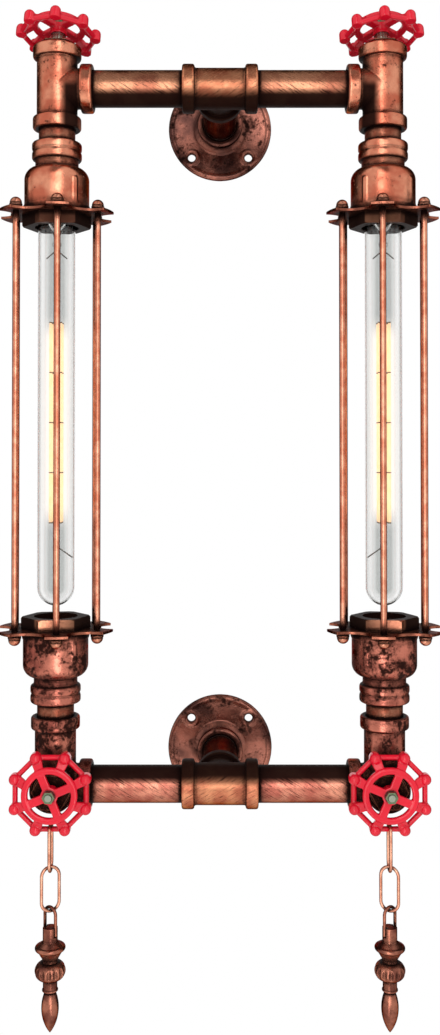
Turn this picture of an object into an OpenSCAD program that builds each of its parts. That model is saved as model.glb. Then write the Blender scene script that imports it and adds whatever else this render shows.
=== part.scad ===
// Twin-column wall lamp made of threaded pipe fittings.
// Origin: centre of the upper wall flange, on the wall. +Y goes into the wall, +Z is up.
// Every column piece is drawn in a column frame: its origin is on the column axis at the height
// of the upper crossbar, and +X points at the other column.

/* [Frame] */
// Distance between the two column axes
column_spread = 246; // [220:1:320]
// Height from the lower crossbar axis to the upper one
bar_drop = 522; // [480:1:640]
// Distance from the wall to the pipe axes
standoff = 107; // [95:1:150]

/* [Pipe] */
// Outer diameter of the pipe
pipe_d = 27.4; // [26.5:0.1:28]
// Bore of the pipe and of the fittings, the way of the leads
pipe_bore = 21.6; // [18:0.1:22.5]
// Depth of pipe inside a fitting
pipe_grip = 12; // [9:0.5:13]
// Nipple left showing between two fittings of a column
nipple_show = 10; // [5:0.5:16]
// Radial clearance of a screwed or pushed fit
fit_gap = 0.1; // [0.05:0.01:0.15]

/* [Fittings] */
// Outer diameter of a fitting's body
body_d = 30.6; // [30.2:0.1:33]
// Diameter of the band at each mouth of a fitting
band_d = 36.4; // [35:0.1:40]
// Width of the band
band_w = 9.4; // [6:0.1:11]
// Rounding of the band's edges
band_round = 1.6; // [0.5:0.1:2.5]
// Top tee, axis of the branch to either end of the run
tee_run = 31.5; // [30:0.5:36]
// Tees and corner fitting, axis to the mouth of a branch
tee_arm = 27.5; // [27:0.5:34]
// Middle tee, axis of the branch to either end of the run
middle_run = 28.5; // [27:0.5:36]
// Corner fitting, axis to the upper mouth
corner_rise = 51; // [45:0.5:60]
// Radius of the round belly of the corner fitting
corner_belly = 17.2; // [16.5:0.1:19]
// Corner fitting, axis to the face of the front boss
boss_reach = 20; // [19:0.5:24]
// Diameter of the front boss
boss_d = 33; // [32.5:0.1:36]

/* [Wall flange] */
// Diameter of the wall flange
flange_d = 87; // [80:1:100]
// Thickness of the wall flange
flange_t = 5; // [4:0.5:7]
// Diameter of the flange's hub
hub_d = 37.6; // [36:0.2:42]
// Height of the hub from the wall
hub_h = 19; // [17:0.5:24]
// Circle of the screw holes
screw_circle = 68; // [62:0.5:72]
// Diameter of a screw hole
screw_hole = 6.5; // [4:0.1:7]
// Diameter of the countersink of a screw hole
screw_sink = 10; // [8:0.1:11]
// Height of the raised pad round a screw hole
pad_h = 0.8; // [0.5:0.1:1.5]
// Height of the raised lip round the flange's rim
lip_h = 0.5; // [0.3:0.1:1]

/* [Lampholder] */
// Height of the bell-shaped holder
holder_h = 53.5; // [50:0.5:64]
// Outer diameter of the bell
bell_d = 48.6; // [46:0.2:52]
// Straight height of the bell
bell_straight = 25; // [22:0.5:28]
// Inner diameter of the bell
bell_bore = 39.2; // [38:0.1:41]
// Height of the bell's round shoulder
shoulder_h = 9.5; // [8:0.5:11]
// Diameter of the neck
neck_d = 32.4; // [31.5:0.1:34]
// Diameter of the two beads round the neck
neck_bead_d = 37.4; // [36:0.1:40]
// Height of one neck bead
neck_bead_h = 6.8; // [5:0.1:7.5]
// Raised band round the bell's mouth, beyond the bell
mouth_band = 0.8; // [0.4:0.1:1.5]
// Height of the mouth band
mouth_band_h = 5.5; // [3:0.5:8]
// Width of a wrench rib on the bell
rib_w = 3.6; // [2:0.1:5]
// Height of a wrench rib above the bell
rib_proud = 0.9; // [0.5:0.1:1.2]

/* [Cage] */
// Turn of each cage about its column, front rod towards the lamp's middle
cage_turn = 9; // [0:1:29]
// Radius of the circle of rods
rod_circle = 34.6; // [33:0.2:37]
// Diameter of a rod
rod_d = 4.8; // [4.2:0.1:5.6]
// Diameter of the threaded ends of a rod
rod_end_d = 4; // [3:0.1:4]
// Tip radius of the scalloped cage plate
plate_tip = 44.4; // [42:0.2:48]
// Radius of the plate at the bottom of a scallop
plate_waist = 31; // [28:0.2:31.6]
// Radius of a scallop
scallop_r = 15; // [12:0.5:20]
// Thickness of the cage plate
plate_t = 2; // [1.5:0.1:3]
// Height of the hexagon of the ring nut
ring_nut_h = 8.6; // [6:0.2:12]
// Width across the flats of the ring nut
ring_nut_flats = 44.8; // [42:0.2:46]
// Hole of the ring nut
ring_nut_hole = 32.6; // [31:0.1:34]
// Length of the ring nut's threaded collar inside the bell
ring_collar = 10; // [8:0.5:11]
// Diameter of a cap nut's dome
cap_nut_d = 9; // [8:0.1:10]
// Height of a cap nut's hexagon
cap_nut_hex_h = 3.4; // [2.5:0.1:4]

/* [Bulb] */
// Diameter of the tubular bulb
bulb_d = 28.4; // [27:0.1:30]
// Length of the glass, cap to tip
bulb_len = 294; // [240:1:296]
// Thickness of the glass
glass_t = 0.9; // [0.6:0.1:1.2]
// Diameter of the screw cap
cap_d = 26; // [25:0.1:26.4]
// Length of the screw cap
cap_len = 22; // [20:0.5:22.5]
// Radius of the circle of filament strands
strand_circle = 5.4; // [4.6:0.1:7]
// Diameter of a filament strand
strand_d = 2; // [1:0.1:2.4]
// Distance from the glass neck down to the uppermost strands
strand_drop = 82; // [60:1:100]
// Distance from the lowest strands down to the glass tip
strand_lift = 62; // [52:1:80]

/* [Handwheel] */
// Radius over the knuckles of the wheel
wheel_r = 32; // [30:0.1:34]
// Radius of a knuckle
knuckle_r = 4.1; // [3.4:0.1:4.6]
// Height of a knuckle
knuckle_h = 9.6; // [8.6:0.1:10.5]
// Diameter of a rim bar
rim_bar_d = 4; // [3.6:0.1:4.6]
// Outer radius of the raised crown ring
crown_r = 20.4; // [19:0.1:21]
// Radial width of the crown ring
crown_w = 4.8; // [3.6:0.1:5.4]
// Height of the crown above the wheel's back
crown_top = 11.2; // [10:0.1:12]
// Thickness of the crown ring, spokes and web
crown_t = 4.4; // [3:0.1:5]
// Width of a spoke
spoke_w = 6; // [4:0.1:7]
// Radius of the hub
hub_r = 6.3; // [5.4:0.1:7.5]
// Diameter of the stud that the wheel turns on
stud_d = 5; // [4:0.1:6]
// Radial running clearance of the wheel on its stud
turn_gap = 0.05; // [0.02:0.01:0.09]
// End play of the wheel between its shoulder and its nut
end_play = 0.3; // [0.2:0.05:0.4]
// Gap from the top tee to the back of its wheel
top_wheel_lift = 7.5; // [6:0.5:14]
// Gap from the corner fitting's front boss to the back of its wheel
front_wheel_lift = 0.8; // [0.5:0.1:4]
// Turn of the top wheels
top_wheel_turn = 48; // [0:1:89]
// Lean of the top stems towards the wall
lean_back = 10; // [0:0.5:14]
// Lean of the top stems towards the other column
lean_side = 3; // [0:0.5:5]

/* [Chain and pendant] */
// Diameter of the chain wire
wire_d = 2.4; // [2:0.1:2.8]
// Outer width of a chain link
link_w = 15.6; // [14:0.1:18]
// Outer length of the upper link
upper_link_len = 36; // [30:0.5:44]
// Outer length of the lower link
lower_link_len = 34; // [28:0.5:44]
// Gap between links where they hang on each other
link_gap = 0.3; // [0.2:0.05:0.5]
// Turn of the lower link from the lamp's face
link_turn = 25; // [15:1:35]
// Turn of the pendant's bail from the lamp's face, the other way
bail_turn = 35; // [30:1:45]
// Outer width of the bail
bail_w = 12.8; // [12.4:0.1:13.4]
// Height of the bail above the pendant
bail_rise = 15.4; // [14:0.1:20]
// Diameter of the pendant's stem
pendant_stem_d = 10.8; // [8:0.1:11]
// Length of the pendant's stem
pendant_stem_h = 10; // [8:0.5:14]
// Diameter of the pendant's disc
pendant_disc_d = 22.2; // [18:0.1:26]
// Thickness of the pendant's disc at its rim
pendant_disc_t = 3.6; // [2.4:0.1:5]
// Diameter of the pendant's waist
pendant_waist_d = 11; // [10:0.1:14]
// Diameter of the pendant's belly
pendant_belly_d = 22.4; // [20:0.1:26]
// Height of the pendant's belly
pendant_belly_h = 13; // [11:0.5:16]
// Flutes round the pendant's belly
flute_count = 14; // [10:1:16]
// Radius of a flute
flute_r = 1.9; // [1.4:0.1:2.2]
// Diameter of the bud at the end of the pendant
bud_d = 12.6; // [10:0.1:16]
// Length of the bud
bud_len = 30.5; // [22:0.5:36]

/* [Lead] */
// Diameter of the lead inside the pipes
lead_d = 5; // [3.5:0.1:5.5]
// Radius of the lead's bends
lead_bend = 8; // [6:0.5:9]

/* [Hidden] */
$fn = 64;

copper = [0.62, 0.33, 0.22];
dark_copper = [0.38, 0.2, 0.14];
red_enamel = [0.78, 0.06, 0.08];
zinc = [0.6, 0.64, 0.58];
brass = [0.78, 0.6, 0.3];
porcelain = [0.9, 0.89, 0.85];
clear_glass = [0.85, 0.9, 0.92, 0.35];
amber = [1, 0.68, 0.3];
wire_grey = [0.45, 0.42, 0.38];
lead_black = [0.12, 0.12, 0.12];

slack = 0.4;
over = 1;
body_r = body_d / 2;
branch_step = 0.3;
branch_r = body_r - branch_step;
way_r = pipe_bore / 2;
branch_way_r = way_r - branch_step;
boss_way_step = 2.5;
boss_way_r = way_r - boss_way_step;
socket_r = pipe_d / 2 + fit_gap;

flange_round = 1.4;
lip_step = 0.3;
lip_w = 2.4;
pad_w = 1.6;
throat_step = 1.4;
throat_r = hub_d / 2 - throat_step;
hub_foot_w = 3;
hub_foot_h = 4;
hub_bead_h = 7;
hub_bead_round = 2;

holder_top = -tee_run - nipple_show;
holder_mouth = holder_top - holder_h;
cup_mouth = -bar_drop + corner_rise + nipple_show + holder_h;

bell_r = bell_d / 2;
cavity_r = bell_bore / 2;
cavity_rise = 2;
cavity_h = bell_straight + cavity_rise;
shoulder_top = bell_straight + shoulder_h;
mouth_band_round = 0.7;
neck_bead_round = 2;
neck_groove = 0.9;
rib_count = 4;
rib_angle = 41;
rib_sink = 2;
rib_lap = 1;

rod_count = 6;
hex_turn = 30;
ring_nut_corner = ring_nut_flats / 2 / cos(hex_turn);
ring_nut_chamfer = 1.2;
cap_nut_flange = 0.5;
nut_end_h = 5.4;
shell_t = 0.5;
shell_drop = 2;
thread_play = 0.3;
socket_wall = 2;
socket_drop = 3;
socket_roof = 2.4;
shell_r = cap_d / 2 + thread_play;
contact_r = 4.5;
contact_t = 1.2;
cap_tip_r = 4.2;
cap_tip_h = 1.6;
cap_glass_w = 0.8;
cap_glass_h = 3;
cap_cone_w = 2.5;
cap_cone_h = 2;
cap_top = cavity_h - socket_roof - contact_t - cap_tip_h;

bulb_neck = cap_top - cap_len;
bulb_tip = bulb_neck - bulb_len;
end_swell = 1.02;
bulb_end_r = end_swell * bulb_d / 2;
neck_step = 0.6;
neck_r = cap_d / 2 - neck_step;
neck_len = 4;
flare_len = 12;
mount_flare = 16;
mount_post_r = 2.6;
mount_post_len = 21;
mount_knob_r = 3.4;
mount_knob_h = 3;
mount_end = bulb_neck - mount_post_len - mount_knob_h;
axis_wire_r = 0.6;
hook_r = 0.5;
strand_count = 4;
strand_turn = 45;
hook_steps = 4;
strand_top = bulb_neck - strand_drop;
strand_foot = bulb_tip + strand_lift;
hook_step_h = (strand_top - strand_foot) / hook_steps;
lead_arm_drop = 3;
lead_arm_len = 10.2;
lead_arm_slope = 40;
prop_drop = 18;
prop_slope = 35;
prop_reach = bulb_d / 2 - glass_t - 2 * hook_r;

knuckles = 8;
knuckle_pitch = 360 / knuckles;
knuckle_circle = wheel_r - knuckle_r;
rim_bar_rise = 0.2;
rim_bar_z = rim_bar_d / 2 + rim_bar_rise;
rim_apothem = knuckle_circle * cos(knuckle_pitch / 2);
arm_w = 2 * knuckle_r;
arm_inset = 0.7;
crown_round = 1.4;
spokes = 4;
spoke_inset = 0.5;
hub_back = 2.6;
hub_sink = 0.6;
hub_front = crown_top - hub_sink;
nut_flats = 8;
nut_t = 4;
stud_end = 0.8;
plug_depth = 9;
plug_head_h = 2.6;
plug_flats = 25;
stem_d = 10;
top_lean = [-lean_back, lean_side, 0];

front_wheel_reach = boss_reach + front_wheel_lift;
link_bend = (link_w - wire_d) / 2;
hang_step = wire_d + link_gap;
bar_hang = rim_bar_d / 2 + link_gap + wire_d / 2;
chain_reach = front_wheel_reach + rim_bar_z;
upper_link_top = -bar_drop - rim_apothem + bar_hang;
upper_link_low = upper_link_top - upper_link_len + wire_d;
lower_link_top = upper_link_low + hang_step;
lower_link_low = lower_link_top - lower_link_len + wire_d;
bail_top = lower_link_low + hang_step;
bail_bend = (bail_w - wire_d) / 2;
bail_pin = 3;
pin_z = -pendant_stem_h / 2;

pendant_top = bail_top + wire_d / 2 - bail_rise;
disc_foot = 3;
waist_h = 6.5;
waist_land = 1.6;
belly_neck_h = 6.5;
belly_neck_d = 10.4;
neck_ring_d = 11.6;
neck_ring_h = 1.4;
flute_out = 0.6;
bud_share = 0.6;

// Places a piece of the left column, or of the right one by mirroring it
module left_column() { translate([-column_spread / 2, -standoff, 0]) children(); }
module right_column() { mirror([1, 0, 0]) left_column() children(); }
module both_columns() {
  left_column() children();
  right_column() children();
}

// Turns a piece drawn along +Z to the front, the wall or the other column
module to_front() { rotate([90, 0, 0]) children(); }
module to_wall() { rotate([-90, 0, 0]) children(); }
module to_side() { rotate([0, 90, 0]) children(); }

module tube(outer_r, inner_r, low, high) {
  translate([0, 0, low]) difference() {
    cylinder(r = outer_r, h = high - low);
    translate([0, 0, -over]) cylinder(r = inner_r, h = high - low + 2 * over);
  }
}

// Half section of a ring with two rounded outer edges, standing on z = 0
module band_section(outer_r, width, rounding) {
  square([outer_r - rounding, width]);
  translate([0, rounding]) square([outer_r, width - 2 * rounding]);
  for (z = [rounding, width - rounding]) translate([outer_r - rounding, z]) circle(r = rounding);
}

module band(outer_r, width, rounding) {
  rotate_extrude() intersection() {
    band_section(outer_r, width, rounding);
    square([outer_r, width]);
  }
}

// One branch of a fitting along +Z: round body with a band at the mouth
module arm(length, r) {
  cylinder(r = r, h = length);
  translate([0, 0, length - band_w]) band(band_d / 2, band_w, band_round);
}

// The hollow of a branch along +Z: a way for the lead and a socket for the pipe
module arm_way(length, r) {
  cylinder(r = r, h = length);
  translate([0, 0, length - pipe_grip]) cylinder(r = socket_r, h = pipe_grip + over);
}

// Tee with its run along Z and its branch along +X
module tee(run, branch) {
  difference() {
    union() {
      arm(run, body_r);
      mirror([0, 0, 1]) arm(run, body_r);
      to_side() arm(branch, branch_r);
    }
    arm_way(run, way_r);
    mirror([0, 0, 1]) arm_way(run, way_r);
    to_side() arm_way(branch, branch_way_r);
  }
}

module pipe(length) { color(copper) tube(pipe_d / 2, way_r, 0, length); }

// Wall flange with its face on z = 0 and its hub along +Z
module wall_flange() {
  lip_r = flange_d / 2 - flange_round - lip_step;
  color(copper) difference() {
    union() {
      band(flange_d / 2, flange_t, flange_round);
      tube(lip_r, lip_r - lip_w, flange_t - over, flange_t + lip_h);
      at_screws() cylinder(d = screw_sink + 2 * pad_w, h = flange_t + pad_h);
      translate([0, 0, flange_t]) cylinder(r1 = hub_d / 2 + hub_foot_w, r2 = throat_r, h = hub_foot_h);
      translate([0, 0, over]) cylinder(r = throat_r, h = hub_h - 2 * over);
      translate([0, 0, hub_h - hub_bead_h]) band(hub_d / 2, hub_bead_h, hub_bead_round);
    }
    translate([0, 0, -over]) cylinder(r = way_r, h = hub_h + 2 * over);
    translate([0, 0, hub_h - pipe_grip]) cylinder(r = socket_r, h = pipe_grip + over);
    at_screws() screw_way();
  }
}

module at_screws() {
  for (i = [0:3]) rotate([0, 0, 45 + 90 * i]) translate([screw_circle / 2, 0, 0]) children();
}

module screw_way() {
  top = flange_t + pad_h;
  sink_h = (screw_sink - screw_hole) / 2;
  translate([0, 0, -over]) cylinder(d = screw_hole, h = top + 2 * over);
  translate([0, 0, top - sink_h])
    cylinder(d1 = screw_hole, d2 = screw_sink + 2 * over, h = sink_h + over);
}

module middle_tee() { color(copper) to_side() rotate([0, 0, 90]) tee(middle_run, tee_arm); }
module top_tee() { color(copper) tee(tee_run, tee_arm); }

module crossbar() {
  start = tee_arm - pipe_grip;
  finish = column_spread / 2 - middle_run + pipe_grip;
  translate([start, 0, 0]) to_side() pipe(finish - start);
}

module standoff_pipe() {
  start = tee_arm - pipe_grip;
  finish = standoff - hub_h + pipe_grip;
  translate([0, start - standoff, 0]) to_wall() pipe(finish - start);
}

// Corner fitting at the foot of a column: up, side and front branches on a round belly
module corner_fitting() {
  color(copper) difference() {
    union() {
      arm(corner_rise, body_r);
      to_side() arm(tee_arm, branch_r);
      sphere(r = corner_belly);
      to_front() band(boss_d / 2, boss_reach, band_round);
    }
    arm_way(corner_rise, way_r);
    to_side() arm_way(tee_arm, branch_way_r);
    to_front() cylinder(r = boss_way_r, h = boss_reach);
    to_front() translate([0, 0, boss_reach - plug_depth])
      cylinder(r = socket_r, h = plug_depth + over);
  }
}

// Bell-shaped reducing socket, mouth down on z = 0 and neck up
module bell_section() {
  square([bell_r, bell_straight]);
  square([bell_r - shoulder_h, shoulder_top]);
  translate([bell_r - shoulder_h, bell_straight]) intersection() {
    circle(r = shoulder_h);
    square(shoulder_h);
  }
  square([neck_d / 2, holder_h]);
  intersection() {
    band_section(bell_r + mouth_band, mouth_band_h, mouth_band_round);
    square([bell_d, mouth_band_h]);
  }
  for (i = [1, 2]) translate([0, holder_h - i * neck_bead_h]) intersection() {
    band_section(neck_bead_d / 2, neck_bead_h, neck_bead_round);
    square([neck_bead_d, neck_bead_h]);
  }
  translate([0, holder_h - 2 * neck_bead_h + neck_bead_round])
    square([neck_bead_d / 2 - neck_groove, 2 * (neck_bead_h - neck_bead_round)]);
}

module bell_way_section() {
  polygon([
    [0, -over], [cavity_r, -over], [cavity_r, cavity_h], [way_r, shoulder_top],
    [way_r, holder_h - pipe_grip], [socket_r, holder_h - pipe_grip],
    [socket_r, holder_h + over], [0, holder_h + over]
  ]);
}

module bell() {
  color(copper) difference() {
    union() {
      rotate_extrude() bell_section();
      for (i = [0:rib_count - 1])
        rotate([0, 0, rib_angle + i * 360 / rib_count - 90]) bell_rib();
    }
    rotate_extrude() bell_way_section();
  }
}

module bell_rib() {
  translate([bell_r - rib_sink, -rib_w / 2, mouth_band_h - rib_lap])
    cube([rib_sink + rib_proud, rib_w, bell_straight - mouth_band_h]);
}

// Scalloped cage plate with its lower face on z = 0
module cage_plate() {
  scallop_circle = plate_waist + scallop_r;
  color(copper) linear_extrude(plate_t) difference() {
    circle(r = plate_tip);
    circle(r = cavity_r);
    for (i = [0:rod_count - 1]) rotate(i * 360 / rod_count - 90) {
      translate([rod_circle, 0]) circle(d = rod_end_d + 2 * fit_gap);
      rotate(180 / rod_count) translate([scallop_circle, 0]) circle(r = scallop_r);
    }
  }
}

// Ring nut: hexagon below z = 0, threaded collar above it through the plate into the bell
module ring_nut() {
  color(dark_copper) difference() {
    union() {
      translate([0, 0, -ring_nut_h]) intersection() {
        cylinder(r = ring_nut_corner, h = ring_nut_h, $fn = 6);
        cylinder(r1 = ring_nut_corner - ring_nut_chamfer, r2 = ring_nut_corner + ring_nut_h,
                 h = ring_nut_h + ring_nut_chamfer);
      }
      cylinder(r = cavity_r - fit_gap, h = plate_t + ring_collar);
    }
    translate([0, 0, -ring_nut_h - over])
      cylinder(d = ring_nut_hole, h = ring_nut_h + plate_t + ring_collar + 2 * over);
  }
}

// Cap nut standing on z = 0, with a blind hole for the rod's end
module cap_nut() {
  r = cap_nut_d / 2;
  color(copper) difference() {
    union() {
      cylinder(r = r + cap_nut_flange, h = cap_nut_hex_h, $fn = 6);
      rotate_extrude() intersection() {
        union() {
          square([r, cap_nut_hex_h]);
          translate([0, cap_nut_hex_h]) circle(r = r);
        }
        square([r, cap_nut_hex_h + r]);
      }
    }
    translate([0, 0, -over]) cylinder(d = rod_end_d + 2 * fit_gap, h = nut_end_h + over);
  }
}

module around_cage() {
  for (i = [0:rod_count - 1])
    rotate([0, 0, i * 360 / rod_count - 90]) translate([rod_circle, 0, 0]) children();
}

module cage_rods() {
  low = cup_mouth + plate_t;
  high = holder_mouth - plate_t;
  thread = plate_t + nut_end_h - slack;
  color(copper) rotate([0, 0, cage_turn]) around_cage() {
    translate([0, 0, low]) cylinder(d = rod_d, h = high - low);
    translate([0, 0, low - thread]) cylinder(d = rod_end_d, h = high - low + 2 * thread);
  }
}

// Porcelain lampholder body, clamped in the bell above the ring nut's collar
module socket_body() {
  hollow_r = shell_r + shell_t;
  color(porcelain) difference() {
    union() {
      translate([0, 0, ring_collar]) cylinder(r = cavity_r - fit_gap, h = cavity_h - ring_collar);
      translate([0, 0, -socket_drop])
        cylinder(r = hollow_r + socket_wall, h = ring_collar + socket_drop + over);
    }
    translate([0, 0, -socket_drop - over])
      cylinder(r = hollow_r, h = cavity_h - socket_roof + socket_drop + over);
  }
}

module socket_shell() {
  color(brass) tube(shell_r + shell_t - fit_gap, shell_r, -socket_drop, cap_top - shell_drop);
}

module socket_contact() {
  color(brass) translate([0, 0, cap_top + cap_tip_h]) cylinder(r = contact_r, h = contact_t);
}

module bulb_cap() {
  r = cap_d / 2;
  glass_low = cap_top - cap_glass_h;
  color(brass) rotate_extrude() polygon([
    [0, cap_top + cap_tip_h], [cap_tip_r, cap_top + cap_tip_h], [cap_tip_r + cap_glass_w, cap_top],
    [r - cap_cone_w, glass_low], [r, glass_low - cap_cone_h], [r, bulb_neck], [0, bulb_neck]
  ]);
}

// Outline of the bulb's glass, neck up, inset by the glass thickness for its inside
module glass_section(inset) {
  r = bulb_d / 2 - inset;
  end_z = bulb_tip + bulb_end_r;
  intersection() {
    translate([0, end_z]) union() {
      circle(r = bulb_end_r - inset);
      square([bulb_d, bulb_len]);
    }
    polygon([
      [0, bulb_neck], [neck_r - inset, bulb_neck], [neck_r - inset, bulb_neck - neck_len],
      [r, bulb_neck - flare_len], [r, bulb_tip], [0, bulb_tip]
    ]);
  }
}

module bulb_glass() {
  color(clear_glass) rotate_extrude() difference() {
    glass_section(0);
    glass_section(glass_t);
  }
}

// Glass mount inside the bulb: a hollow flare on the cap, a post and a pinched knob
module bulb_mount() {
  flare_r = neck_r - glass_t - fit_gap;
  flare_z = bulb_neck - mount_flare;
  knob_z = bulb_neck - mount_post_len;
  color(clear_glass) rotate_extrude() polygon([
    [0, flare_z + glass_t], [flare_r - glass_t, bulb_neck], [flare_r, bulb_neck], [mount_post_r, flare_z],
    [mount_post_r, knob_z], [mount_knob_r, knob_z - glass_t], [mount_knob_r, mount_end], [0, mount_end]
  ]);
}

// Wires below the mount: an axis wire, two lead arms, stars of hooks and a prop to the glass
module bulb_wires() {
  prop_z = strand_foot - prop_drop;
  prop_len = prop_reach / cos(prop_slope);
  color(wire_grey) {
    translate([0, 0, prop_z]) cylinder(r = axis_wire_r, h = mount_end - prop_z);
    for (side = [0, 180]) translate([0, 0, mount_end - lead_arm_drop])
      rotate([0, 90 + lead_arm_slope, side]) cylinder(r = hook_r, h = lead_arm_len);
    for (i = [0:hook_steps]) translate([0, 0, strand_foot + i * hook_step_h]) hook_star();
    translate([0, 0, prop_z + hook_r]) rotate([0, 90 + prop_slope, 0]) cylinder(r = hook_r, h = prop_len);
  }
}

// Four level hooks about the axis wire, one for each strand
module hook_star() {
  for (i = [0:strand_count - 1])
    rotate([0, 90, strand_turn + i * 360 / strand_count])
      cylinder(r = hook_r, h = strand_circle + strand_d / 2);
}

// Strands between each star of hooks and the next
module bulb_filament() {
  color(amber) for (i = [0:strand_count - 1], k = [0:hook_steps - 1])
    rotate([0, 0, strand_turn + i * 360 / strand_count])
      translate([strand_circle, 0, strand_foot + k * hook_step_h + hook_r + fit_gap])
        cylinder(d = strand_d, h = hook_step_h - 2 * hook_r - 2 * fit_gap);
}

// Plug in the mouth of a fitting on z = 0, bored for a stem that may lean
module stem_plug(lean) {
  color(dark_copper) difference() {
    union() {
      translate([0, 0, -plug_depth]) cylinder(d = pipe_d, h = plug_depth);
      cylinder(d = plug_flats / cos(hex_turn), h = plug_head_h, $fn = 6);
    }
    rotate(lean) translate([0, 0, -2 * plug_depth])
      cylinder(d = stem_d + 2 * fit_gap, h = 4 * plug_depth);
  }
}

// Stem with a shoulder under the wheel's hub and a stud through it; z = 0 is the plug's mouth
module wheel_stem(lift) {
  shoulder = lift + hub_back - end_play / 2;
  color(dark_copper) {
    translate([0, 0, -plug_depth]) cylinder(d = stem_d, h = plug_depth + shoulder);
    cylinder(d = stud_d, h = lift + hub_front + end_play / 2 + nut_t + stud_end);
  }
}

module wheel_nut(lift) {
  color(zinc) translate([0, 0, lift + hub_front + end_play / 2]) difference() {
    cylinder(d = nut_flats / cos(hex_turn), h = nut_t, $fn = 6);
    translate([0, 0, -over]) cylinder(d = stud_d + 2 * fit_gap, h = nut_t + 2 * over);
  }
}

// Domed handwheel: knuckles joined by thin bars, arms rising to a crown ring, spokes and a hub
module handwheel() {
  crown_low = crown_top - crown_t;
  color(red_enamel) difference() {
    union() {
      rotate_extrude() translate([crown_r - crown_w, crown_low]) crown_section();
      for (i = [0:knuckles - 1]) rotate([0, 0, i * knuckle_pitch]) {
        translate([knuckle_circle, 0, 0]) knuckle();
        wheel_arm();
        rotate([0, 0, knuckle_pitch / 2]) rim_bar();
      }
      for (i = [0:spokes - 1])
        rotate([0, 0, i * 360 / spokes]) translate([0, -spoke_w / 2, crown_low + spoke_inset])
          cube([crown_r - crown_w / 2, spoke_w, crown_t - 2 * spoke_inset]);
      translate([0, 0, hub_back]) cylinder(r = hub_r, h = hub_front - hub_back);
    }
    cylinder(d = stud_d + 2 * turn_gap, h = crown_top + over);
  }
}

// Round bar from one knuckle to the next, along Y
module rim_bar() {
  length = 2 * rim_apothem * tan(knuckle_pitch / 2) - knuckle_r;
  translate([rim_apothem, length / 2, rim_bar_z]) to_front() cylinder(d = rim_bar_d, h = length);
}

module crown_section() {
  translate([0, crown_round]) square([crown_w, crown_t - 2 * crown_round]);
  translate([crown_round, 0]) square([crown_w - 2 * crown_round, crown_t]);
  for (x = [crown_round, crown_w - crown_round], z = [crown_round, crown_t - crown_round])
    translate([x, z]) circle(r = crown_round);
}

module knuckle() {
  rotate_extrude() intersection() {
    union() {
      square([knuckle_r, knuckle_h - knuckle_r]);
      translate([0, knuckle_h - knuckle_r]) circle(r = knuckle_r);
    }
    square([knuckle_r, knuckle_h]);
  }
}

// Sloping arm from the crown ring down to a knuckle, as wide at the ring as a spoke
module wheel_arm() {
  inner = crown_r - crown_w / 2;
  intersection() {
    translate([0, arm_w / 2, 0]) to_front() linear_extrude(arm_w) polygon([
      [inner, crown_top - crown_t + arm_inset], [knuckle_circle, arm_inset],
      [knuckle_circle, knuckle_h - knuckle_r], [inner, crown_top - arm_inset]
    ]);
    linear_extrude(crown_top) polygon([
      [inner, -spoke_w / 2], [knuckle_circle, -arm_w / 2], [knuckle_circle, arm_w / 2], [inner, spoke_w / 2]
    ]);
  }
}

// Chain link in the XZ plane, hung from z = 0, the wire's centre at the top
module chain_link(length) {
  run = length - link_w;
  color(copper) translate([0, 0, -link_bend]) {
    rotate([90, 0, 0]) rotate_extrude(angle = 180) translate([link_bend, 0]) circle(d = wire_d);
    translate([0, 0, -run]) {
      rotate([-90, 0, 0]) rotate_extrude(angle = 180) translate([link_bend, 0]) circle(d = wire_d);
      for (x = [-link_bend, link_bend]) translate([x, 0, 0]) cylinder(d = wire_d, h = run);
    }
  }
}

// Bail over the pendant's stem: an upturned U in grooves of the stem, its ends in the cross hole
module bail() {
  leg = bail_rise - wire_d / 2 - bail_bend - pin_z;
  pin_len = bail_bend - pendant_stem_d / 2 + bail_pin;
  color(dark_copper) {
    translate([0, 0, pin_z + leg]) to_front()
      rotate_extrude(angle = 180) translate([bail_bend, 0]) circle(d = wire_d);
    for (side = [0, 1]) mirror([side, 0, 0]) translate([bail_bend, 0, pin_z]) {
      cylinder(d = wire_d, h = leg);
      sphere(d = wire_d);
      translate([-pin_len, 0, 0]) to_side() cylinder(d = wire_d, h = pin_len);
    }
  }
}

// Turned pendant hanging from z = 0: stem, disc, waist, fluted belly, neck and pointed bud
module pendant() {
  disc_z = -pendant_stem_h - disc_foot;
  waist_z = disc_z - pendant_disc_t - waist_h;
  belly_z = waist_z - waist_land - pendant_belly_h / 2;
  neck_z = belly_z - pendant_belly_h / 2 - belly_neck_h;
  bud_z = neck_z - neck_ring_h;
  bud_tip = bud_share * bud_len;
  color(dark_copper) difference() {
    union() {
      rotate_extrude() {
        translate([0, disc_z - over]) square([pendant_stem_d / 2, over - disc_z]);
        disc_section(disc_z, waist_z);
        translate([0, belly_z]) belly_section();
        translate([0, neck_z - over]) square([belly_neck_d / 2, belly_z - neck_z]);
        translate([0, bud_z]) square([neck_ring_d / 2, neck_ring_h]);
      }
      translate([0, 0, bud_z - bud_len + bud_tip])
        rotate_extrude() bud_section(bud_d / 2, bud_len - bud_tip, bud_tip);
    }
    translate([-pendant_stem_d, 0, pin_z]) to_side()
      cylinder(d = wire_d + 2 * fit_gap, h = 2 * pendant_stem_d);
    for (side = [-1, 1]) translate([side * bail_bend, 0, pin_z - wire_d / 2 - link_gap])
      cylinder(d = wire_d + 2 * link_gap, h = pendant_stem_h);
    for (i = [0:flute_count - 1]) rotate([0, 0, i * 360 / flute_count])
      translate([pendant_belly_d / 2 + flute_out, 0, belly_z - pendant_belly_h / 2])
        cylinder(r = flute_r, h = pendant_belly_h);
  }
}

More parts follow.
